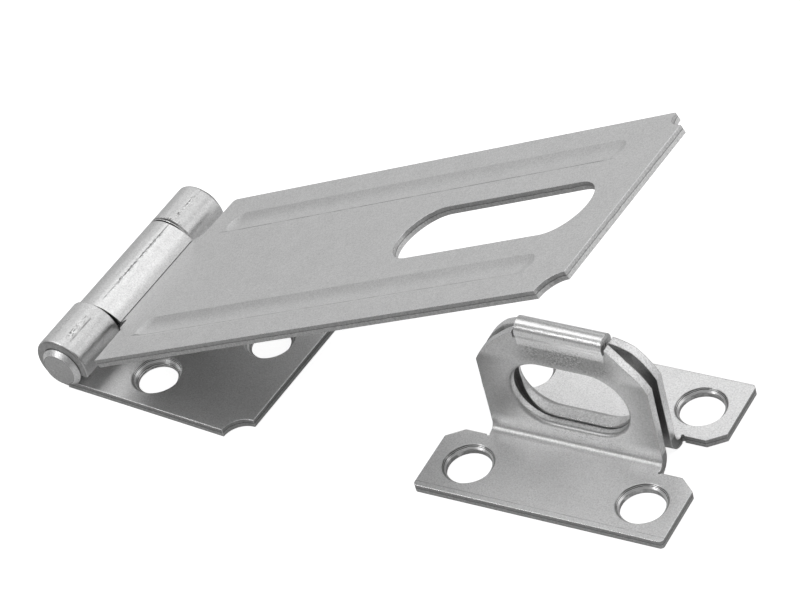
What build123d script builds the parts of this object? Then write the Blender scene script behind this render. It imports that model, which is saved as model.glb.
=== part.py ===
"""Safety hasp: hinged strap with a slot, fixed leaf, hinge pin and folded staple.

Millimetres, +Z up. The mounting surface is z = 0. The origin lies midway
between the leaf's two side screw holes, the hinge axis runs along Y on the -X
side of it, and the strap points along +X. The strap stands part open.
"""
import os
from math import acos, atan2, cos, degrees, radians, sin, sqrt

from build123d import *

os.makedirs("parts", exist_ok=True)

# Sheet and pin
sheet = 1.4                    # thickness of the steel sheet
width = 38.1                   # width of the leaf and of the strap
pin_radius = 3.0
bore_gap = 0.05                # between the pin and a tightly rolled knuckle
loose_gap = 0.27               # the leaf's near knuckle is rolled wider
loose_out = 0.1                # and its middle sits this far out from the axis

# Fixed leaf
leaf_length = 32.7             # hinge axis to free end
corner_bite = 3.45             # radius of the concave corners of leaf and strap
knuckle_rim = 0.5              # rounding at the outer ends of the barrel
lip_angle = 15                 # the roll ends this many degrees below the axis
leaf_notch_gap = 1.0           # the leaf is cut back this far past the strap's knuckle
leaf_hole_x = 12.7             # pair of screw holes beside the hinge
leaf_hole_y = 12.8
leaf_tip_hole_x = 25.2         # single screw hole near the free end

# Screw holes of leaf and staple
leaf_hole = 6.2
staple_hole = 6.8
screw_sink = 8.0
screw_sink_angle = 82

# Strap
strap_length = 109.9           # hinge axis to free end
strap_rise = 0.15              # strap's top face above the hinge axis
strap_open = 26.3              # degrees above the closed position
knuckle_width = 19.6           # strap's knuckle, between the leaf's two
knuckle_shift = 0.4            # its middle, off the centre line
knuckle_gap = 0.3              # side gap between neighbouring knuckles
joggle_radius = 6.6            # inside radius where the strap dips under the pin
lip_leave = 60                 # degrees: here the roll opens out from the pin
lip_radius = 7.2               # into a lip with this outside radius
lip_seat_gap = 0.08            # the lip's end lies this far above the strap
shoulder_outer = 8.3           # shoulders stand clear of the barrel
shoulder_inner = 8.1
shoulder_corner = 0.7          # rounding of the far shoulder
root = 7.4                     # wings beside the knuckle stand forward of them
root_near = 2.0                # width of the near wing
root_far = 0.3                 # width of the far wing
root_slant = 0.5
slot_end = 7.0                 # between the slot and the free end
slot_length = 39.35
slot_width = 11.4
rib_near = 13.0                # pressed channels start this far from the axis
rib_end = 8.9                  # and stop this far from the free end
rib_side = 12.3                # each channel's distance from the centre line
rib_width = 4.6
rib_depth = 0.42

# Staple
staple_back = 1.625            # the staple stands under the slot, off the slot's middle
staple_y = 0.1
staple_turn = 5.0              # degrees that the staple is turned about Z
flange_length = 40.3
flange_reach = 16.3            # flange's outer edge from the middle plane
flange_side = 10.35            # straight part of the flange's short sides
flange_inner = 3.9             # flange's inner edge beside the ears
flange_slant = 2.5             # inner corners are cut off over this length
flange_corner = 0.6
staple_hole_x = 14.1
staple_hole_y = 10.1
ear_width = 27.7
ear_shoulder = 15.35           # height where the shoulders start
ear_face = 2.27                # ear's outer face from the middle plane
ear_neck = 1.45                # outer face where the ears are pinched together
pinch_start = 16.0             # the ears are drawn in between these heights
pinch_end = 19.9
pinch_fade = 3.2               # and are apart again this far beyond the fold's ends
ear_bend = 1.2                 # inside radius between ear and flange
bend_relief = 0.25             # round notch between ear and flange
bead_radius = 1.65             # rounded fold along the top
bead_height = 21.55            # height of the fold's centre
bead_length = 14.0
bead_blend = 1.0               # radius between the neck and the fold
eye_shift = 0.3                # fold and eye sit this far off the middle
bead_notch = 0.4               # notch at each end of the fold
bead_notch_floor = 20.6
shoulder_peak = 21.8           # height of the shoulders beside the fold
shoulder_bulge = 0.8           # rise of the shoulders' curve over its chord
eye_length = 19.0
eye_height = 11.2
eye_centre = 10.8
eye_drop = 0.4                 # the front ear's hole reaches this much lower
eye_edge = 0.6                 # rounding of the front ear's face at the eye
eye_roll = 1.3                 # rounding of the rear ear's face at the eye
eye_rim = 1.2                  # the rear ear's rim is drawn forward over this width
eye_rim_gap = 0.14             # it all but meets the front ear under the eye
eye_rim_slope = 20             # degrees: higher up it stays further off
eye_rim_taper = 25             # degrees

# Heads of the pin
head_radius = 3.45
head_face = 2.8                # flat end face
head_rim = 0.1
head_bevel = 0.75
head_seat_gap = 0.05

# Barrel sizes that follow from the above
bore = pin_radius + bore_gap
roll = bore + sheet
axis_height = roll             # the rolls are tangent to the mounting surface
knuckle_near = knuckle_shift - knuckle_width / 2
knuckle_far = knuckle_shift + knuckle_width / 2
leaf_notch = roll + leaf_notch_gap
hinge_x = -leaf_hole_x
hinge_foot = Plane((hinge_x, 0, 0))

# Places along the strap, from the hinge axis
slot_middle = strap_length - slot_end - slot_length / 2
rib_far = strap_length - rib_end
staple_x = slot_middle - staple_back


def screw_holes(plane, hole, *places):
    """Countersunk screw holes through the sheet whose upper face is the plane."""
    with Locations(plane):
        with Locations(*places):
            CounterSinkHole(hole / 2, screw_sink / 2, 2 * sheet, screw_sink_angle)


def corner_bites(far_end):
    """Concave quarter circles at the two corners of a free end."""
    with Locations((far_end, width / 2), (far_end, -width / 2)):
        Circle(corner_bite, mode=Mode.SUBTRACT)


# Fixed leaf: one sheet, rolled into the two outer knuckles
def leaf_roll_section(radius, out):
    """Section of the sheet rolled round the pin, ending in an open lip."""
    centre = (-out, radius)
    turn = 270 + lip_angle
    with BuildLine() as outline:
        outside = CenterArc(centre, radius, -90, -turn)
        inside = CenterArc(centre, radius - sheet, -90, -turn)
        Line(outside @ 0, inside @ 0)
        Line(outside @ 1, inside @ 1)
    make_face(outline.edges())


with BuildPart() as base_leaf:
    with BuildSketch(Plane((hinge_x, -width / 2, 0), (1, 0, 0), (0, -1, 0))):
        leaf_roll_section(roll + loose_gap - bore_gap, loose_out)
    extrude(amount=-(width / 2 + knuckle_near - knuckle_gap))
    with BuildSketch(Plane((hinge_x, width / 2, 0), (1, 0, 0), (0, -1, 0))):
        leaf_roll_section(roll, 0)
    extrude(amount=width / 2 - knuckle_far - knuckle_gap)
    rims = base_leaf.edges().filter_by(GeomType.CIRCLE).filter_by(
        lambda edge: edge.radius > roll - 0.01
        and abs(abs(edge.center().Y) - width / 2) < 0.01
    )
    fillet(rims, knuckle_rim)
    with BuildSketch(hinge_foot):
        with BuildLine():
            Polyline(
                (-loose_out, -width / 2),
                (leaf_length, -width / 2),
                (leaf_length, width / 2),
                (0, width / 2),
                (0, knuckle_far + knuckle_gap),
                (leaf_notch, knuckle_far + knuckle_gap),
                (leaf_notch, knuckle_near - knuckle_gap),
                (-loose_out, knuckle_near - knuckle_gap),
                close=True,
            )
        make_face()
        corner_bites(leaf_length)
    extrude(amount=sheet)
    screw_holes(
        hinge_foot.offset(sheet),
        leaf_hole,
        (leaf_hole_x, -leaf_hole_y),
        (leaf_hole_x, leaf_hole_y),
        (leaf_tip_hole_x, 0),
    )

# Strap: its own frame is turned about the hinge axis
turned = radians(strap_open)
strap_along = (cos(turned), 0, sin(turned))
strap_up = (-sin(turned), 0, cos(turned))
strap_frame = Plane((hinge_x, 0, axis_height), strap_along, strap_up)
strap_side = Plane((hinge_x, 0, axis_height), strap_along, (0, -1, 0))
strap_under = strap_rise - sheet

# Channels pressed into the strap's upper face
rib_radius = (rib_width**2 / 4 + rib_depth**2) / (2 * rib_depth)
rib_height = strap_rise + rib_radius - rib_depth


def channel_bars(radius):
    """Round-ended bars that press the two channels."""
    first = rib_near + rib_width / 2
    last = rib_far - rib_width / 2
    for side in (-rib_side, rib_side):
        with Locations(((first + last) / 2, side, rib_height)):
            Cylinder(radius, last - first, rotation=(0, 90, 0))
        with Locations((first, side, rib_height), (last, side, rib_height)):
            Sphere(radius)


def strap_knuckle_section(plate_end):
    """Section of the sheet that dips under the pin, rolls round it and lands on itself."""
    dip_top = joggle_radius + sheet
    dip_z = strap_rise - dip_top
    dip_x = sqrt((bore + dip_top)**2 - dip_z**2)
    meet = degrees(atan2(dip_z, dip_x))
    rolled = 360 - lip_leave + meet

    # The lip turns about its own centre until it is just above the dipping strap
    leave = radians(lip_leave)
    lip_centre = ((roll - lip_radius) * cos(leave), (roll - lip_radius) * sin(leave))
    to_dip = (dip_x - lip_centre[0], dip_z - lip_centre[1])
    reach = sqrt(to_dip[0]**2 + to_dip[1]**2)
    floor = dip_top + lip_seat_gap

    def lip_arc(radius):
        corner = acos((radius**2 + reach**2 - floor**2) / (2 * radius * reach))
        end = degrees(atan2(to_dip[1], to_dip[0]) + corner)
        return CenterArc(lip_centre, radius, lip_leave, end - lip_leave)

    with BuildLine() as outline:
        top = Line((plate_end, strap_rise), (dip_x, strap_rise))
        CenterArc((dip_x, dip_z), dip_top, 90, 90 + meet)
        CenterArc((0, 0), bore, meet, -rolled)
        under = Line((plate_end, strap_under), (dip_x, strap_under))
        CenterArc((dip_x, dip_z), joggle_radius, 90, 90 + meet)
        CenterArc((0, 0), roll, meet, -rolled)
        Line(lip_arc(lip_radius - sheet) @ 1, lip_arc(lip_radius) @ 1)
        Line(top @ 0, under @ 0)
    make_face(outline.edges())


with BuildPart(strap_frame) as channel_backs:
    channel_bars(rib_radius + sheet)
    split(bisect_by=strap_frame.offset(strap_under + sheet / 4), keep=Keep.BOTTOM)

with BuildPart(strap_frame) as channel_tools:
    channel_bars(rib_radius)

with BuildPart() as hasp_strap:
    with BuildSketch(strap_frame.offset(strap_under)) as strap_outline:
        with BuildLine():
            Polyline(
                (shoulder_outer, -width / 2),
                (strap_length, -width / 2),
                (strap_length, width / 2),
                (shoulder_outer, width / 2),
                (shoulder_inner, knuckle_far + root_far + root_slant),
                (root, knuckle_far + root_far),
                (root, knuckle_far),
                (shoulder_inner, knuckle_far),
                (shoulder_inner, knuckle_near),
                (root, knuckle_near),
                (root, knuckle_near - root_near),
                (shoulder_inner, knuckle_near - root_near - root_slant),
                close=True,
            )
        make_face()
        far_shoulder = strap_outline.vertices().sort_by_distance((shoulder_outer, width / 2, 0))[0]
        fillet(far_shoulder, shoulder_corner)
        corner_bites(strap_length)
        with Locations((slot_middle, 0)):
            SlotOverall(slot_length, slot_width, mode=Mode.SUBTRACT)
    extrude(amount=sheet)
    with BuildSketch(strap_side.offset(-knuckle_far)):
        strap_knuckle_section(shoulder_inner + sheet)
    extrude(amount=knuckle_width)
    add(channel_backs.part)
    add(channel_tools.part, mode=Mode.SUBTRACT)

# Hinge pin: a round bar, headed over at both ends
pin_plane = Plane((hinge_x, 0, axis_height), (0, 1, 0), (1, 0, 0))
head_back = width / 2 + head_seat_gap
head_edge = head_back + head_rim
head_front = head_edge + head_bevel
with BuildPart() as hinge_pin:
    with BuildSketch(pin_plane):
        with BuildLine():
            half = Polyline(
                (0, 0),
                (head_front, 0),
                (head_front, head_face),
                (head_edge, head_radius),
                (head_back, head_radius),
                (head_back, pin_radius),
                (0, pin_radius),
                close=True,
            )
        make_face()
        mirror(about=Plane.YZ)
    revolve(axis=Axis((hinge_x, 0, axis_height), (0, 1, 0)))

# Staple: one sheet, folded double along the top, with a flange on each side
staple_spin = radians(staple_turn)
staple_along = (cos(staple_spin), sin(staple_spin), 0)
staple_across = (-sin(staple_spin), cos(staple_spin), 0)
staple_seat = (hinge_x + staple_x, staple_y, 0)
staple_plan = Plane(staple_seat, staple_along, (0, 0, 1))
staple_section = Plane(staple_seat, staple_across, staple_along)
staple_front = Plane(staple_seat, staple_along, (-staple_across[0], -staple_across[1], 0))

# The blend between neck and fold
bead_turn = degrees(acos((ear_neck + bead_blend) / (bead_radius + bead_blend)))
bead_start = bead_height - (bead_radius + bead_blend) * sin(radians(bead_turn))
bend_height = sheet + ear_bend
bead_left = eye_shift - bead_length / 2
bead_right = eye_shift + bead_length / 2


def pinch_curve(face, neck):
    """Soft bend of one surface, from the ear's plane in to the neck."""
    third = (pinch_end - pinch_start) / 3
    Bezier(
        (face, pinch_start),
        (face, pinch_start + third),
        (neck, pinch_end - third),
        (neck, pinch_end),
    )


def staple_surface(depth):
    """One surface of the folded sheet, this deep below its outer face, as a half."""
    face = ear_face - depth
    neck = ear_neck - depth
    bend = (ear_face + ear_bend, bend_height)
    flange = Line((flange_reach, sheet - depth), (bend[0], sheet - depth))
    CenterArc(bend, ear_bend + depth, 270, -90)
    Line((face, bend_height), (face, pinch_start))
    pinch_curve(face, neck)
    Line((neck, pinch_end), (neck, bead_start))
    CenterArc((ear_neck + bead_blend, bead_start), bead_blend + depth, 180, -bead_turn)
    CenterArc((0, bead_height), bead_radius - depth, -bead_turn, 90 + bead_turn)
    return flange @ 0


def ear_top_section(neck):
    """Section through one ear beside the fold, drawn in this far at the top."""
    with BuildLine() as outline:
        for depth in (0, sheet):
            pinch_curve(ear_face - depth, neck - depth)
            Line((neck - depth, pinch_end), (neck - depth, shoulder_peak))
        Line((ear_face, pinch_start), (ear_face - sheet, pinch_start))
        Line((neck, shoulder_peak), (neck - sheet, shoulder_peak))
    make_face(outline.edges())


def eye_punch(side, height, centre, rounding):
    """Cut for one ear's hole, flared at the ear's outer face."""
    with BuildPart() as punch:
        with BuildSketch(staple_front.offset(ear_face - sheet - eye_rim_gap / 2)):
            with Locations((eye_shift, centre)):
                SlotOverall(eye_length, height)
        extrude(amount=side * 3 * ear_face)
        with BuildSketch(staple_front.offset(side * ear_face)):
            with Locations((eye_shift, centre)):
                SlotOverall(eye_length + 3 * rounding, height + 3 * rounding)
        extrude(amount=side * 2 * ear_face)
        throat = punch.edges().filter_by(lambda corner: corner.is_interior)
        fillet(throat, rounding)
    return punch.part


# Beside the fold the two ears come apart again
with BuildPart() as ear_tops:
    for bead_end, fade_end, ear_end in (
        (bead_left, bead_left - pinch_fade, -ear_width / 2),
        (bead_right, bead_right + pinch_fade, ear_width / 2),
    ):
        with BuildSketch(staple_section.offset(bead_end)) as pinched:
            ear_top_section(ear_neck)
        with BuildSketch(staple_section.offset(fade_end)) as apart:
            ear_top_section(ear_face)
        loft([pinched.sketch, apart.sketch], ruled=True)
        extrude(apart.sketch, amount=ear_end - fade_end)
    mirror(about=staple_front)

# The eye: a hole in each ear, split in the gap under the rear ear's drawn rim
inner_face = ear_face - sheet
eye_front = eye_punch(1, eye_height + eye_drop, eye_centre - eye_drop / 2, eye_edge)
eye_rear = eye_punch(-1, eye_height, eye_centre, eye_roll)
eye_foot = Location((0, eye_centre - eye_height / 2, 0), (-eye_rim_slope, 0, 0))
rim_end = Plane(staple_front.offset(inner_face - eye_rim_gap).location * eye_foot)
with BuildPart() as drawn_rim:
    with BuildSketch(staple_front.offset(-inner_face)):
        with Locations((eye_shift, eye_centre)):
            SlotOverall(eye_length + 2 * eye_rim, eye_height + 2 * eye_rim)
    extrude(amount=2 * inner_face - eye_rim_gap, taper=eye_rim_taper)
    split(bisect_by=rim_end, keep=Keep.BOTTOM)

with BuildPart() as staple:
    with BuildSketch(staple_section):
        with BuildLine():
            outer_end = staple_surface(0)
            inner_end = staple_surface(sheet)
            Line(outer_end, inner_end)
            Line((0, bead_height + bead_radius), (0, bead_height + bead_radius - sheet))
        make_face()
        mirror(about=Plane.YZ)
    extrude(amount=flange_length / 2, both=True)
    with BuildSketch(staple_front):
        for bead_end, side in ((bead_left, -1), (bead_right, 1)):
            with Locations((bead_end + side * flange_length / 2, pinch_start + ear_width / 2)):
                Rectangle(flange_length, ear_width)
    extrude(amount=2 * ear_face, both=True, mode=Mode.SUBTRACT)
    add(ear_tops.part)
    with BuildSketch(staple_plan) as flange_plan:
        with BuildLine():
            Polyline(
                (0, flange_inner),
                (flange_length / 2 - flange_slant, flange_inner),
                (flange_length / 2, flange_reach - flange_side),
                (flange_length / 2, flange_reach),
                (0, flange_reach),
                close=True,
            )
        make_face()
        outer_corner = flange_plan.vertices().sort_by_distance(
            (flange_length / 2, flange_reach, 0)
        )[0]
        fillet(outer_corner, flange_corner)
        Rectangle(ear_width, 2 * flange_reach)
        with Locations((ear_width / 2 + bend_relief / 2, flange_inner)):
            Circle(bend_relief, mode=Mode.SUBTRACT)
        split(bisect_by=Plane.YZ)
        mirror(about=Plane.YZ)
        split(bisect_by=Plane.XZ.reverse())
        mirror(about=Plane.XZ)
    extrude(amount=bead_height + 2 * bead_radius, mode=Mode.INTERSECT)
    with BuildSketch(staple_front):
        with BuildLine():
            left = SagittaArc(
                (-ear_width / 2, ear_shoulder),
                (bead_left - bead_notch, shoulder_peak),
                shoulder_bulge,
            )
            right = SagittaArc(
                (bead_right + bead_notch, shoulder_peak),
                (ear_width / 2, ear_shoulder),
                shoulder_bulge,
            )
            Polyline(
                left @ 1,
                (bead_left - bead_notch, bead_notch_floor),
                (bead_left, bead_notch_floor),
                (bead_left, bead_height + 2 * bead_radius),
                (bead_right, bead_height + 2 * bead_radius),
                (bead_right, bead_notch_floor),
                (bead_right + bead_notch, bead_notch_floor),
                right @ 0,
            )
            Polyline(left @ 0, (-ear_width / 2, 0), (ear_width / 2, 0), right @ 1)
        make_face()
        with Locations((0, bend_height / 2)):
            Rectangle(flange_length, bend_height)
    extrude(amount=2 * flange_reach, both=True, mode=Mode.INTERSECT)
    add(drawn_rim.part)
    add(eye_front, mode=Mode.SUBTRACT)
    add(eye_rear, mode=Mode.SUBTRACT)
    screw_holes(
        staple_plan.offset(sheet),
        staple_hole,
        (-staple_hole_x, -staple_hole_y),
        (staple_hole_x, -staple_hole_y),
        (-staple_hole_x, staple_hole_y),
        (staple_hole_x, staple_hole_y),
    )

base_leaf.part.label = "base_leaf"
hasp_strap.part.label = "hasp_strap"
hinge_pin.part.label = "hinge_pin"
staple.part.label = "staple"

export_step(base_leaf.part, "parts/base_leaf.step")
export_step(hasp_strap.part, "parts/hasp_strap.step")
export_step(hinge_pin.part, "parts/hinge_pin.step")
export_step(staple.part, "parts/staple.step")
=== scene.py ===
"""Safety hasp of zinc-plated sheet steel, laid out on a pale table.

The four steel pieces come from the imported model. This file gives them their
plating, cut edges and rubbed places, and adds the table, the lights and the
camera.
"""
import math

import bpy
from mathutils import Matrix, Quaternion, Vector

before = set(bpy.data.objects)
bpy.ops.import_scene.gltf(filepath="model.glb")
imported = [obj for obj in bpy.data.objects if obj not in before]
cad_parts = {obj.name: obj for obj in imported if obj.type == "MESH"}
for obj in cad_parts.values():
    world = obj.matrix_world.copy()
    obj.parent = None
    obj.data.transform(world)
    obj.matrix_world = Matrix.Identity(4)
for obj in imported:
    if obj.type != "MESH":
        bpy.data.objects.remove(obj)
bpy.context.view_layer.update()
bpy.ops.object.select_all(action="DESELECT")

# Fixed leaf: a plate of pressed steel sheet with two knuckles rolled at its end
# and three countersunk screw holes. It is blanked from plated strip, so its flat
# faces are satin, its cut edges are dull, and the rolls are rubbed by the tool.
sheet = 0.0014
hinge_x = -0.0127
hinge_z = 0.00445
leaf_tone = 0.76
roll_tone = 0.68
leaf_edge_tone = 0.9
leaf_rim = 0.00022
leaf_holes = [(0.0, -0.0128), (0.0, 0.0128), (0.0125, 0.0)]
leaf_hole_radius = 0.0031
sink_radius = 0.0040
upward = (0, 0, 1)
along_pin = (0, 1, 0)
near_knuckle = -0.0148
far_gap_line = 0.0108
leaf_seam_angle = 68.0
roll_foot = 0.003
roll_full = 0.0045
# Rubbed places on the two rolls: the angle round the hinge in degrees, then the
# place along it in metres, each as its middle, half width and fade
rubbed_rolls = {
    "near line": ((76.0, 3.0, 4.0), (near_knuckle, 0.0022, 0.001)),
    "far line": ((76.0, 2.0, 3.0), (0.0150, 0.0030, 0.001)),
    "ring at the far gap": ((95.0, 30.0, 20.0), (0.0109, 0.0003, 0.0005)),
    "outer mark": ((104.0, 2.0, 3.0), (-0.0152, 0.0012, 0.0006)),
}


def feed(tree, socket, value):
    """Links an output to a socket, or sets the socket's own value."""
    if isinstance(value, bpy.types.NodeSocket):
        tree.links.new(value, socket)
    else:
        socket.default_value = value


def add_node(tree, kind, **settings):
    """A new node of one kind, with its properties and its unlinked inputs set."""
    node = tree.nodes.new(kind)
    for name, value in settings.items():
        if name.startswith("in_"):
            key = name[3:]
            socket = node.inputs[int(key)] if key.isdigit() else node.inputs[key.replace("_", " ")]
            feed(tree, socket, value)
        else:
            setattr(node, name, value)
    return node


def calc(tree, operation, first, second=0.0, clamp=False):
    """One sum on two numbers."""
    node = add_node(tree, "ShaderNodeMath", operation=operation, use_clamp=clamp)
    feed(tree, node.inputs[0], first)
    feed(tree, node.inputs[1], second)
    return node.outputs[0]


def ramp(tree, value, low, high, at_low=0.0, at_high=1.0):
    """A smooth step of a number, from at_low to at_high."""
    node = add_node(tree, "ShaderNodeMapRange", interpolation_type="SMOOTHSTEP")
    feed(tree, node.inputs["Value"], value)
    feed(tree, node.inputs["From Min"], low)
    feed(tree, node.inputs["From Max"], high)
    feed(tree, node.inputs["To Min"], at_low)
    feed(tree, node.inputs["To Max"], at_high)
    return node.outputs["Result"]


def band(tree, value, centre, half_width, fade):
    """1 within half_width of the centre, and 0 a fade further out."""
    off = calc(tree, "ABSOLUTE", calc(tree, "SUBTRACT", value, centre))
    return ramp(tree, off, half_width, half_width + fade, 1.0, 0.0)


def both(tree, first, second):
    """Where two masks overlap, or one mask at part of its strength."""
    return calc(tree, "MULTIPLY", first, second)


def either(tree, first, *others):
    """The strongest of several masks."""
    for other in others:
        first = calc(tree, "MAXIMUM", first, other)
    return first


def along(tree, vector, direction):
    """Component of a vector in one direction."""
    node = add_node(tree, "ShaderNodeVectorMath", operation="DOT_PRODUCT")
    feed(tree, node.inputs[0], vector)
    feed(tree, node.inputs[1], direction)
    return node.outputs["Value"]


def outside(tree, mask):
    """The opposite of a mask."""
    return calc(tree, "SUBTRACT", 1.0, mask)


def facing_along(tree, facing, direction, least, full):
    """1 where a face looks along a direction or against it."""
    return ramp(tree, calc(tree, "ABSOLUTE", along(tree, facing, direction)), least, full)


def blend_tones(tree, mask, first, second):
    """Mixes two colours by a mask."""
    node = add_node(tree, "ShaderNodeMix", data_type="RGBA")
    feed(tree, node.inputs["Factor"], mask)
    feed(tree, node.inputs[6], first)
    feed(tree, node.inputs[7], second)
    return node.outputs[2]


def blend_numbers(tree, mask, first, second):
    """Mixes two numbers by a mask."""
    node = add_node(tree, "ShaderNodeMix", data_type="FLOAT")
    feed(tree, node.inputs["Factor"], mask)
    feed(tree, node.inputs[2], first)
    feed(tree, node.inputs[3], second)
    return node.outputs[0]


def grey(value):
    """A neutral colour."""
    return (value, value, value, 1.0)


def neutral(tree, value):
    """A neutral colour from a number in the tree."""
    node = add_node(tree, "ShaderNodeCombineColor", in_Red=value, in_Green=value, in_Blue=value)
    return node.outputs["Color"]


def noise(tree, place, scale, detail, rough):
    """A cloudy pattern of numbers round 0.5."""
    node = add_node(tree, "ShaderNodeTexNoise", in_Vector=place, in_Scale=scale, in_Detail=detail)
    feed(tree, node.inputs["Roughness"], rough)
    return node.outputs["Fac"]


def worn_line(tree, place, value, centre, half_width):
    """A thin line at one value, broken here and there along its length."""
    line = band(tree, value, centre, half_width, half_width)
    breaks = ramp(tree, noise(tree, place, 260.0, 3.0, 0.6), 0.36, 0.56, 0.35, 1.0)
    return both(tree, line, breaks)


def sway(tree, value, amount):
    """A pattern round 0.5 turned into one round 0, with a given strength."""
    return calc(tree, "MULTIPLY", calc(tree, "SUBTRACT", value, 0.5), amount)


def new_group(name, inputs, outputs):
    """An empty shader node group with named sockets."""
    group = bpy.data.node_groups.new(name, "ShaderNodeTree")
    for direction, sockets in (("INPUT", inputs), ("OUTPUT", outputs)):
        for socket_name, kind in sockets.items():
            group.interface.new_socket(socket_name, in_out=direction, socket_type="NodeSocket" + kind)
    start = group.nodes.new("NodeGroupInput")
    end = group.nodes.new("NodeGroupOutput")
    return group, start.outputs, end.inputs


# Satin zinc: a fine matt grain with faint clouds, as plating leaves on sheet
satin_rough = 0.41
rubbed_gloss = 0.12
plating, given, result = new_group(
    "satin zinc",
    {"Position": "Vector", "Tone": "Float", "Gloss": "Float"},
    {"Color": "Color", "Roughness": "Float", "Height": "Float"},
)
clouds = noise(plating, given["Position"], 230.0, 6.0, 0.66)
grain = noise(plating, given["Position"], 4200.0, 3.0, 0.8)
flecks = noise(plating, given["Position"], 1500.0, 4.0, 0.75)
mottle = calc(plating, "ADD", sway(plating, clouds, 0.16), sway(plating, grain, 1.0))
mottle = calc(plating, "ADD", mottle, sway(plating, flecks, 0.22))
tone = calc(plating, "MULTIPLY", given["Tone"], calc(plating, "ADD", 1.0, mottle))
feed(plating, result["Color"], neutral(plating, tone))
gloss = calc(plating, "MULTIPLY", given["Gloss"], rubbed_gloss)
rough = calc(plating, "SUBTRACT", satin_rough, gloss)
feed(plating, result["Roughness"], calc(plating, "ADD", rough, sway(plating, flecks, -0.12)))
feed(plating, result["Height"], calc(plating, "ADD", grain, calc(plating, "MULTIPLY", flecks, 1.4)))

# Cut edge: the upper part is burnished by the punch, the lower part is torn
burnished_tone = 0.42
torn_tone = 0.56
tear_line_tone = 0.12
burnished_rough = 0.36
torn_rough = 0.52
tear_line_depth = 0.47
cut_edge, given, result = new_group(
    "cut edge",
    {"Position": "Vector", "Depth": "Float", "Tone": "Float"},
    {"Color": "Color", "Roughness": "Float", "Height": "Float"},
)
waves = noise(cut_edge, given["Position"], 500.0, 3.0, 0.6)
tears = noise(cut_edge, given["Position"], 3600.0, 3.0, 0.7)
wavy_depth = calc(cut_edge, "ADD", given["Depth"], sway(cut_edge, waves, 0.2))
torn = ramp(cut_edge, wavy_depth, tear_line_depth, 0.55)
tear_line = both(cut_edge, band(cut_edge, wavy_depth, tear_line_depth, 0.03, 0.06), 0.55)
edge_tone = blend_numbers(cut_edge, torn, burnished_tone, torn_tone)
edge_tone = blend_numbers(cut_edge, tear_line, edge_tone, tear_line_tone)
edge_tone = both(cut_edge, edge_tone, calc(cut_edge, "ADD", 1.0, sway(cut_edge, tears, 1.3)))
edge_tone = calc(cut_edge, "MULTIPLY", edge_tone, given["Tone"])
feed(cut_edge, result["Color"], neutral(cut_edge, edge_tone))
edge_rough = blend_numbers(cut_edge, torn, burnished_rough, torn_rough)
feed(cut_edge, result["Roughness"], edge_rough)
tear_depth = calc(cut_edge, "ADD", 0.8, torn)
feed(cut_edge, result["Height"], calc(cut_edge, "MULTIPLY", tears, tear_depth))

# Rim: the corners of the sheet are slightly rounded and rubbed, with a painted highlight along them
rubbed_rim_and_highlight, given, result = new_group(
    "rubbed rim and highlight",
    {"Radius": "Float", "Position": "Vector"},
    {"Mask": "Float", "Normal": "Vector"},
)
rounding = add_node(rubbed_rim_and_highlight, "ShaderNodeBevel", samples=6, in_Radius=given["Radius"])
surface = add_node(rubbed_rim_and_highlight, "ShaderNodeNewGeometry")
turned = along(rubbed_rim_and_highlight, rounding.outputs["Normal"], surface.outputs["Normal"])
rubbing = noise(rubbed_rim_and_highlight, given["Position"], 1100.0, 3.0, 0.7)
worn = ramp(rubbed_rim_and_highlight, rubbing, 0.35, 0.6, 0.45, 1.0)
corner_mask = ramp(rubbed_rim_and_highlight, turned, 0.985, 0.86)
feed(rubbed_rim_and_highlight, result["Mask"], both(rubbed_rim_and_highlight, worn, corner_mask))
feed(rubbed_rim_and_highlight, result["Normal"], rounding.outputs["Normal"])

# Scuffs: short dark and bright marks that the rolling and folding tools leave
scuffs, given, result = new_group(
    "tool scuffs",
    {"Position": "Vector", "Grain": "Vector", "Where": "Float", "Density": "Float"},
    {"Dark": "Float", "Bright": "Float"},
)
drawn_out = add_node(scuffs, "ShaderNodeVectorMath", operation="MULTIPLY")
feed(scuffs, drawn_out.inputs[0], given["Position"])
feed(scuffs, drawn_out.inputs[1], given["Grain"])
marks = noise(scuffs, drawn_out.outputs["Vector"], 1000.0, 5.0, 0.8)
patches = ramp(scuffs, noise(scuffs, given["Position"], 420.0, 2.0, 0.5), 0.38, 0.6, 0.3, 1.0)
where = both(scuffs, given["Where"], patches)
threshold = outside(scuffs, given["Density"])
for name, pattern in (("Dark", marks), ("Bright", outside(scuffs, marks))):
    over = calc(scuffs, "MULTIPLY", calc(scuffs, "SUBTRACT", pattern, threshold), 7.0, clamp=True)
    feed(scuffs, result[name], both(scuffs, over, where))

# Turned sink: fine rings that the countersinking tool leaves round a hole
turned_sink, given, result = new_group(
    "turned sink",
    {"Position": "Vector", "Distance": "Float", "Inner": "Float", "Outer": "Float"},
    {"Mask": "Float", "Rings": "Float"},
)
wobble = sway(turned_sink, noise(turned_sink, given["Position"], 700.0, 2.0, 0.5), 0.00022)
wavy_distance = calc(turned_sink, "ADD", given["Distance"], wobble)
ring_place = calc(turned_sink, "MULTIPLY", wavy_distance, 3800.0)
ring_line = add_node(turned_sink, "ShaderNodeCombineXYZ", in_X=ring_place)
past_rim = calc(turned_sink, "SUBTRACT", given["Distance"], given["Outer"])
past_wall = calc(turned_sink, "SUBTRACT", given["Distance"], given["Inner"])
within_rim = ramp(turned_sink, past_rim, -0.00002, 0.00002, 1.0, 0.0)
beyond_wall = ramp(turned_sink, past_wall, -0.00008, 0.00002)
feed(turned_sink, result["Mask"], both(turned_sink, within_rim, beyond_wall))
feed(turned_sink, result["Rings"], noise(turned_sink, ring_line.outputs["Vector"], 1.0, 2.0, 0.6))


def use_group(tree, group, **inputs):
    """One copy of a shared effect in a material."""
    node = tree.nodes.new("ShaderNodeGroup")
    node.node_tree = group
    for name, value in inputs.items():
        feed(tree, node.inputs[name], value)
    return node.outputs


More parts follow.
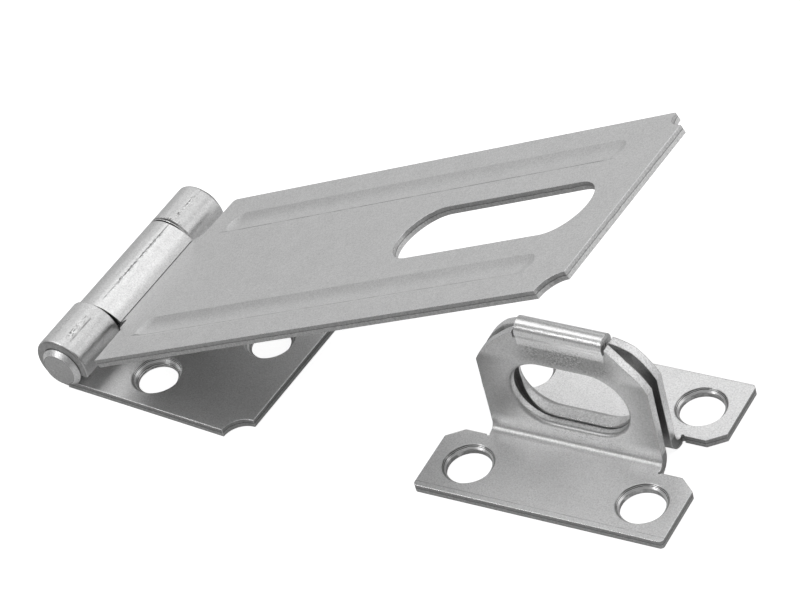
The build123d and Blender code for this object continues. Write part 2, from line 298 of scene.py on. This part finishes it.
def new_finish(name):
    """A material with its shader, place and surface direction ready."""
    material = bpy.data.materials.new(name)
    material.use_nodes = True
    tree = material.node_tree
    place = add_node(tree, "ShaderNodeTexCoord")
    return material, tree, place.outputs["Object"], place.outputs["Normal"]


# Greys and roughness of the marks over the plating, and the height of its grain
scuff_dark = grey(0.12)
scuff_bright = grey(0.97)
scuff_rough = 0.55
line_dark = grey(0.1)
# Near white painted along the rims as a highlight
rim_highlight = grey(0.98)
rim_rough = 0.24
ring_rough = 0.32
grain_height = 0.00004


def steel_surface(
    tree, place, tone, gloss, edge_mask, depth, edge_tone, rim, scuffed, lines, sinks=None
):
    """Plating on the faces and bare steel on the cut edges, with the sinks' rings,
    the scuffs and the fine lines over them, and a rim along the corners that is
    rubbed and carries a painted highlight."""
    face = use_group(tree, plating, Position=place, Tone=tone, Gloss=gloss)
    edge = use_group(tree, cut_edge, Position=place, Depth=depth, Tone=edge_tone)
    corner = use_group(tree, rubbed_rim_and_highlight, Radius=rim, Position=place)
    color = blend_tones(tree, edge_mask, face["Color"], edge["Color"])
    rough = blend_numbers(tree, edge_mask, face["Roughness"], edge["Roughness"])
    height = blend_numbers(tree, edge_mask, face["Height"], edge["Height"])
    if sinks is not None:
        mask, rings = sinks
        ring_tone = neutral(tree, ramp(tree, rings, 0.42, 0.56, 0.08, 1.0))
        color = blend_tones(tree, mask, color, ring_tone)
        rough = blend_numbers(tree, mask, rough, ring_rough)
        height = blend_numbers(tree, mask, height, calc(tree, "MULTIPLY", rings, 3.0))
    color = blend_tones(tree, scuffed["Dark"], color, scuff_dark)
    color = blend_tones(tree, scuffed["Bright"], color, scuff_bright)
    color = blend_tones(tree, lines, color, line_dark)
    rough = blend_numbers(tree, scuffed["Dark"], rough, scuff_rough)
    color = blend_tones(tree, corner["Mask"], color, rim_highlight)
    rough = blend_numbers(tree, corner["Mask"], rough, rim_rough)
    bump = add_node(tree, "ShaderNodeBump", in_Strength=0.4, in_Distance=grain_height)
    feed(tree, bump.inputs["Height"], height)
    feed(tree, bump.inputs["Normal"], corner["Normal"])
    shader = tree.nodes["Principled BSDF"]
    feed(tree, shader.inputs["Base Color"], color)
    feed(tree, shader.inputs["Metallic"], 1.0)
    feed(tree, shader.inputs["Roughness"], rough)
    feed(tree, shader.inputs["Normal"], bump.outputs["Normal"])


def around_hinge(tree, place):
    """Angle round the hinge axis, in degrees above +X, and the place along it."""
    parts = add_node(tree, "ShaderNodeSeparateXYZ", in_Vector=place)
    across = calc(tree, "SUBTRACT", parts.outputs["X"], hinge_x)
    above = calc(tree, "SUBTRACT", parts.outputs["Z"], hinge_z)
    angle = calc(tree, "MULTIPLY", calc(tree, "ARCTAN2", above, across), 180.0 / math.pi)
    return angle, parts.outputs["Y"]


def in_lying_sheet(tree, height):
    """1 in the sheet that lies on the table, and 0 above it."""
    return ramp(tree, height, sheet * 1.1, sheet * 1.02)


def lying_depth(tree, height):
    """Depth in a sheet that lies on the table: 0 at its face and 1 at its back."""
    return outside(tree, calc(tree, "DIVIDE", height, sheet))


def sink_rings(tree, place, height, centres, hole_radius):
    """Mask and rings of the countersinks round the given hole centres."""
    flat = add_node(tree, "ShaderNodeVectorMath", operation="MULTIPLY", in_0=place)
    feed(tree, flat.inputs[1], (1.0, 1.0, 0.0))
    nearest = 1.0
    for x, y in centres:
        from_hole = add_node(tree, "ShaderNodeVectorMath", operation="DISTANCE", in_1=(x, y, 0.0))
        feed(tree, from_hole.inputs[0], flat.outputs["Vector"])
        nearest = calc(tree, "MINIMUM", nearest, from_hole.outputs["Value"])
    group = use_group(
        tree, turned_sink, Position=place, Distance=nearest, Inner=hole_radius, Outer=sink_radius
    )
    below_face = ramp(tree, height, sheet * 0.985, sheet * 0.96)
    above_back = ramp(tree, height, 0.00002, 0.00006)
    return both(tree, group["Mask"], both(tree, below_face, above_back)), group["Rings"]


def put_on(node_name, finish):
    """Gives one piece its finish."""
    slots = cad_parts[node_name].data.materials
    slots.clear()
    slots.append(finish)


finish, tree, place, facing = new_finish("leaf zinc")
height = along(tree, place, upward)
on_plate = in_lying_sheet(tree, height)
side_face = facing_along(tree, facing, along_pin, 0.6, 0.75)
plate_edge = both(tree, on_plate, facing_along(tree, facing, upward, 0.5, 0.35))
cut = either(tree, side_face, plate_edge)
depth = lying_depth(tree, height)
angle, across = around_hinge(tree, place)
on_roll = ramp(tree, height, roll_foot, roll_full)
rubbed = []
for turn, span in rubbed_rolls.values():
    rubbed.append(both(tree, band(tree, angle, *turn), band(tree, across, *span)))
where = both(tree, on_roll, either(tree, *rubbed))
marks = use_group(tree, scuffs, Position=place, Grain=(5.0, 1.6, 5.0), Where=where, Density=0.56)
sinks = sink_rings(tree, place, height, leaf_holes, leaf_hole_radius)
tone = blend_numbers(tree, on_roll, leaf_tone, roll_tone)
seam_line = worn_line(tree, place, angle, leaf_seam_angle, 1.0)
seam_line = both(tree, seam_line, band(tree, across, near_knuckle, 0.0025, 0.0005))
gap_line = worn_line(tree, place, across, far_gap_line, 0.00012)
gap_line = both(tree, gap_line, band(tree, angle, 90.0, 50.0, 10.0))
lines = both(tree, on_roll, either(tree, both(tree, seam_line, 0.6), gap_line))
steel_surface(
    tree, place, tone, on_roll, cut, depth, leaf_edge_tone, leaf_rim, marks, lines, sinks
)
put_on("base_leaf", finish)

# Hinge pin: a plain steel bar through the three knuckles, headed over at both
# ends. The heads are struck cold, so their flat faces are dull.
pin_tone = 0.85
pin_face_tone = 0.5
pin_gloss = 0.0
pin_edge_depth = 0.7
pin_edge_tone = 1.0
pin_rim = 0.00012
face_ring_radius = 0.00285
face_ring_width = 0.00009
finish, tree, place, facing = new_finish("pin zinc")
end_face = facing_along(tree, facing, along_pin, 0.9, 0.98)
struck = noise(tree, place, 520.0, 4.0, 0.6)
dull = both(tree, end_face, ramp(tree, struck, 0.35, 0.7, 0.3, 0.8))
hammered = use_group(tree, scuffs, Position=place, Grain=(1.6, 1.0, 1.6), Where=1.0, Density=0.42)
tone = blend_numbers(tree, end_face, pin_tone, pin_face_tone)
parts = add_node(tree, "ShaderNodeSeparateXYZ", in_Vector=place)
from_axis = add_node(tree, "ShaderNodeCombineXYZ")
feed(tree, from_axis.inputs["X"], calc(tree, "SUBTRACT", parts.outputs["X"], hinge_x))
feed(tree, from_axis.inputs["Y"], calc(tree, "SUBTRACT", parts.outputs["Z"], hinge_z))
radius = add_node(tree, "ShaderNodeVectorMath", operation="LENGTH")
feed(tree, radius.inputs[0], from_axis.outputs["Vector"])
face_ring = worn_line(tree, place, radius.outputs["Value"], face_ring_radius, face_ring_width)
lines = both(tree, end_face, both(tree, face_ring, 0.8))
dull = both(tree, dull, 0.4)
steel_surface(
    tree, place, tone, pin_gloss, dull, pin_edge_depth, pin_edge_tone, pin_rim, hammered, lines
)
put_on("hinge_pin", finish)

# Strap: a long plate of the same sheet with a knuckle rolled at one end, a slot
# for the staple and two stiffening channels pressed into its upper face.
strap_tone = 0.71
strap_roll_tone = 0.66
strap_roll_highlight_tone = 0.84
strap_edge_tone = 0.9
strap_end_lit_tone = 1.7
strap_rim = 0.00016
strap_angle = math.radians(26.3)
strap_rise = 0.00015
strap_up = (-math.sin(strap_angle), 0, math.cos(strap_angle))
strap_along = (math.cos(strap_angle), 0, math.sin(strap_angle))
hinge_point = Vector((hinge_x, 0, hinge_z))
plate_start = 0.0066
plate_full = 0.0070
strap_roll_end = 0.0058
strap_roll_full = 0.0050
roll_seam_angle = 77.0
roll_seam_middle = 0.0012
roll_highlight_angle = 60.0
near_channel_line = -0.01395
far_channel_line = 0.01025
channel_line_width = 0.00008
channel_middle = 0.0565
channel_half_length = 0.0425
finish, tree, place, facing = new_finish("strap zinc")
axis_along = hinge_point.dot(Vector(strap_along))
axis_up = hinge_point.dot(Vector(strap_up))
from_axis = calc(tree, "SUBTRACT", along(tree, place, strap_along), axis_along)
above_axis = calc(tree, "SUBTRACT", along(tree, place, strap_up), axis_up)
on_plate = ramp(tree, from_axis, plate_start, plate_full)
plate_edge = facing_along(tree, facing, strap_up, 0.5, 0.35)
side_face = facing_along(tree, facing, along_pin, 0.6, 0.75)
cut = either(tree, side_face, both(tree, plate_edge, on_plate))
depth = calc(tree, "DIVIDE", calc(tree, "SUBTRACT", strap_rise, above_axis), sheet)
angle, across = around_hinge(tree, place)
on_roll = ramp(tree, from_axis, strap_roll_end, strap_roll_full)
roll_line = both(
    tree,
    band(tree, angle, roll_seam_angle, 1.5, 3.5),
    band(tree, across, roll_seam_middle, 0.0065, 0.002),
)
# Painted shade: thin dark lines along one edge of each channel, where it is creased
channel_crease_shade = either(
    tree,
    worn_line(tree, place, across, near_channel_line, channel_line_width),
    worn_line(tree, place, across, far_channel_line, channel_line_width),
)
on_channels = band(tree, from_axis, channel_middle, channel_half_length, 0.002)
channel_crease_shade = both(tree, channel_crease_shade, on_channels)
upper_face = ramp(tree, above_axis, strap_rise - 0.0003, strap_rise - 0.0001)
channel_crease_shade = both(tree, channel_crease_shade, upper_face)
where = both(tree, roll_line, on_roll)
marks = use_group(tree, scuffs, Position=place, Grain=(5.0, 1.4, 5.0), Where=where, Density=0.54)
roll_seam = worn_line(tree, place, angle, roll_seam_angle, 0.9)
roll_seam = both(tree, roll_seam, band(tree, across, roll_seam_middle, 0.0080, 0.0015))
roll_seam = both(tree, roll_seam, on_roll)
lines = either(tree, both(tree, channel_crease_shade, 0.85), both(tree, roll_seam, 0.7))
# Painted highlight: a lighter band round the roll where the lights catch it, over a darker roll tone
roll_highlight = band(tree, angle, roll_highlight_angle, 14.0, 20.0)
roll_tone_and_highlight = blend_numbers(tree, roll_highlight, strap_roll_tone, strap_roll_highlight_tone)
# Painted light and shade: faces turned towards +Y, such as the channels' near flanks, are made
# lighter and faces turned towards -Y darker
channel_flank_shade = ramp(tree, along(tree, facing, along_pin), -0.25, 0.25, 0.94, 1.06)
tone = blend_numbers(tree, on_roll, calc(tree, "MULTIPLY", channel_flank_shade, strap_tone), roll_tone_and_highlight)
# Painted light: the end cut face is made much lighter than the side cuts
end_cut = facing_along(tree, facing, strap_along, 0.5, 0.9)
end_cut = both(tree, end_cut, on_plate)
edge_tone = blend_numbers(tree, end_cut, strap_edge_tone, strap_end_lit_tone)
steel_surface(tree, place, tone, on_roll, cut, depth, edge_tone, strap_rim, marks, lines)
put_on("hasp_strap", finish)

# Staple: one strip folded double into two ears under a rounded bead, with a
# flange each side. The fold is pinched hard below the bead, which scuffs it, and
# one long eye is punched through both ears. The pinch, the gap between the ears
# and the ears' outer ends carry painted shade; the bead and the flanges carry
# painted light.
staple_tone = 0.76
flange_lit_tone = 0.88
bead_highlight_tone = 0.95
pinch_shade_tone = 0.52
between_ears_shade_tone = 0.5
ear_end_shade_tone = 0.42
flange_edge_tone = 1.0
ear_edge_tone = 2.1
eye_edge_tone = 1.5
staple_rim = 0.0002
staple_turn = math.radians(5.0)
staple_place = Vector((0.0689, 0.0001, 0))
staple_along = Vector((math.cos(staple_turn), math.sin(staple_turn), 0))
staple_across = Vector((-math.sin(staple_turn), math.cos(staple_turn), 0))
staple_hole_x = 0.0141
staple_hole_y = 0.0101
staple_hole_radius = 0.0034
pinch_height = 0.0186
pinch_middle = 0.0010
foot_height = 0.0034
foot_middle = 0.0020
eye_middle = 0.0003
eye_reach = 0.0100
bead_foot = 0.0192
bead_full = 0.0196
bead_half_length = 0.00695
flange_edge_shade_line_place = -0.0154
flange_edge_shade_line_width = 0.00005
finish, tree, place, facing = new_finish("staple zinc")
middle_along = staple_place.dot(staple_along)
middle_across = staple_place.dot(staple_across)
from_middle = calc(tree, "SUBTRACT", along(tree, place, staple_along), middle_along)
off_plane = calc(tree, "SUBTRACT", along(tree, place, staple_across), middle_across)
height = along(tree, place, upward)
on_flange = in_lying_sheet(tree, height)
end_cut = facing_along(tree, facing, staple_along, 0.6, 0.75)
flange_cut = both(tree, on_flange, facing_along(tree, facing, upward, 0.5, 0.35))
across_face = calc(tree, "ABSOLUTE", along(tree, facing, staple_across))
ear_cut = both(tree, ramp(tree, across_face, 0.5, 0.3), ramp(tree, height, 0.0028, 0.0034))
on_bead = ramp(tree, height, bead_foot, bead_full)
on_bead = both(tree, on_bead, band(tree, from_middle, eye_middle, bead_half_length, 0.0001))
ear_cut = both(tree, ear_cut, outside(tree, on_bead))
cut = either(tree, end_cut, flange_cut, ear_cut)
depth = lying_depth(tree, height)
between_ears = ramp(tree, calc(tree, "ABSOLUTE", off_plane), 0.00095, 0.00085)
pinch = band(tree, height, pinch_height, 0.0008, 0.0014)
pinch = both(tree, pinch, band(tree, from_middle, pinch_middle, 0.0050, 0.0040))
foot = band(tree, height, foot_height, 0.0006, 0.0010)
foot = both(tree, foot, band(tree, from_middle, foot_middle, 0.0040, 0.0040))
where = either(tree, pinch, both(tree, foot, 0.6))
where = both(tree, both(tree, where, 0.6), outside(tree, cut))
marks = use_group(tree, scuffs, Position=place, Grain=(3.4, 4.0, 5.2), Where=where, Density=0.52)
holes = []
for side in (-1, 1):
    for end in (-1, 1):
        centre = staple_place + staple_along * (end * staple_hole_x)
        centre = centre + staple_across * (side * staple_hole_y)
        holes.append((centre.x, centre.y))
sinks = sink_rings(tree, place, height, holes, staple_hole_radius)
# Painted light: the flanges lying on the table are made lighter than the ears
tone = blend_numbers(tree, on_flange, staple_tone, flange_lit_tone)
# Painted shade: the pinched band under the bead is made darker
tone = blend_numbers(tree, pinch, tone, pinch_shade_tone)
ear_plate = both(tree, ramp(tree, height, 0.0030, 0.0050), ramp(tree, height, 0.0175, 0.0160))
# Painted shade: the ears' faces in the gap between them are made darker
tone = blend_numbers(tree, both(tree, ear_plate, between_ears), tone, between_ears_shade_tone)
# Painted shade: the ears grow darker towards their outer ends
ear_end_shade = ramp(tree, calc(tree, "ABSOLUTE", from_middle), 0.0070, 0.0135, 0.15, 0.9)
tone = blend_numbers(tree, both(tree, ear_plate, ear_end_shade), tone, ear_end_shade_tone)
# Painted highlight: the bead along the top of the fold is made nearly white
tone = blend_numbers(tree, on_bead, tone, bead_highlight_tone)
eye_wall = both(tree, ear_plate, band(tree, from_middle, eye_middle, eye_reach, 0.0004))
edge_tone = blend_numbers(tree, ear_cut, flange_edge_tone, ear_edge_tone)
edge_tone = blend_numbers(tree, eye_wall, edge_tone, eye_edge_tone)
# Painted shade: a faint dark line on the front flange near its edge, where the cut edge is rolled
# over
flange_edge_shade_line = worn_line(tree, place, off_plane, flange_edge_shade_line_place, flange_edge_shade_line_width)
flange_edge_shade_line = both(tree, flange_edge_shade_line, on_flange)
lines = both(tree, both(tree, flange_edge_shade_line, outside(tree, cut)), 0.3)
steel_surface(tree, place, tone, on_bead, cut, depth, edge_tone, staple_rim, marks, lines, sinks)
put_on("staple", finish)

# Table: a smooth white sheet that the pieces lie on. It stays white to the
# camera but for a faint shadow under the pieces, and it is dark in the steel.
table_size = 6.0
table_top = -0.00005
table_tone = 0.62
table_glow = 0.85
table_in_steel = 0.06
bpy.ops.mesh.primitive_plane_add(size=table_size, location=(0, 0, table_top))
table = bpy.context.object
table.name = "table"
paper = bpy.data.materials.new("white table")
paper.use_nodes = True
tree = paper.node_tree
shader = tree.nodes["Principled BSDF"]
feed(tree, shader.inputs["Base Color"], grey(table_tone))
feed(tree, shader.inputs["Roughness"], 0.9)
feed(tree, shader.inputs["Specular IOR Level"], 0.0)
seen = add_node(tree, "ShaderNodeLightPath")
seen_straight = calc(tree, "MULTIPLY", seen.outputs["Is Camera Ray"], table_glow)
seen_in_steel = calc(tree, "MULTIPLY", seen.outputs["Is Glossy Ray"], table_in_steel)
glow = add_node(tree, "ShaderNodeEmission", in_Color=grey(1.0))
feed(tree, glow.inputs["Strength"], calc(tree, "ADD", seen_straight, seen_in_steel))
mixed = add_node(tree, "ShaderNodeAddShader", in_0=shader.outputs["BSDF"])
feed(tree, mixed.inputs[1], glow.outputs["Emission"])
feed(tree, tree.nodes["Material Output"].inputs["Surface"], mixed.outputs["Shader"])
table.data.materials.append(paper)

# Lights: eight soft panels and one small lamp round the table, in a pale room.
# Each hangs in a direction from the middle of the pieces. Its numbers are the
# height and compass angle in degrees, reach and width in metres, power in watts.
room_light = 0.18
room_in_steel = 0.2
middle = Vector((0.04, 0.0, 0.015))
panels = [
    ("overhead panel", 88, 0, 0.9, 1.5, 4.0),
    ("left panel", 52, 210, 0.8, 0.6, 0.8),
    ("front left lamp", 35, 240, 0.8, 0.22, 0.6),
    ("low left panel", 30, 180, 0.8, 0.6, 0.4),
    ("back left panel", 42, 135, 0.8, 0.6, 0.5),
    ("low back panel", 10, 140, 0.8, 0.6, 0.4),
    ("back panel", 40, 90, 0.8, 0.6, 0.2),
    ("right panel", 42, 52, 0.8, 0.6, 0.33),
    ("low right panel", 20, 40, 0.8, 0.6, 0.6),
]
for name, height, compass, reach, width, power in panels:
    lift = math.radians(height)
    swing = math.radians(compass)
    level = math.cos(lift)
    way = Vector((level * math.cos(swing), level * math.sin(swing), math.sin(lift)))
    bpy.ops.object.light_add(type="AREA", location=middle + way * reach)
    lamp = bpy.context.object
    lamp.name = name
    lamp.data.shape = "DISK"
    lamp.data.size = width
    lamp.data.energy = power
    lamp.rotation_mode = "QUATERNION"
    lamp.rotation_quaternion = way.to_track_quat("Z", "Y")

room = bpy.data.worlds.new("pale room")
room.use_nodes = True
tree = room.node_tree
backdrop = tree.nodes["Background"]
seen = add_node(tree, "ShaderNodeLightPath")
feed(tree, backdrop.inputs["Color"], grey(1.0))
in_steel = blend_numbers(tree, seen.outputs["Is Glossy Ray"], room_light, room_in_steel)
strength = blend_numbers(tree, seen.outputs["Is Camera Ray"], in_steel, 1.0)
feed(tree, backdrop.inputs["Strength"], strength)
bpy.context.scene.world = room
bpy.context.scene.view_settings.view_transform = "Standard"

# Camera: a long lens held above the near right corner, with the pieces tilted
# in the picture as they were photographed
camera_place = Vector((0.36296, -0.34159, 0.43177))
camera_aim = Vector((0.02588, 0.01583, 0.0))
camera_roll = math.radians(-15.6)
lens_length = 193.5
sensor_width = 36.0
bpy.ops.object.camera_add(location=camera_place)
camera = bpy.context.object
camera.data.lens = lens_length
camera.data.sensor_width = sensor_width
camera.data.clip_start = 0.01
camera.rotation_mode = "QUATERNION"
look = (camera_aim - camera_place).to_track_quat("-Z", "Y")
camera.rotation_quaternion = look @ Quaternion((0, 0, 1), camera_roll)
bpy.context.scene.camera = camera
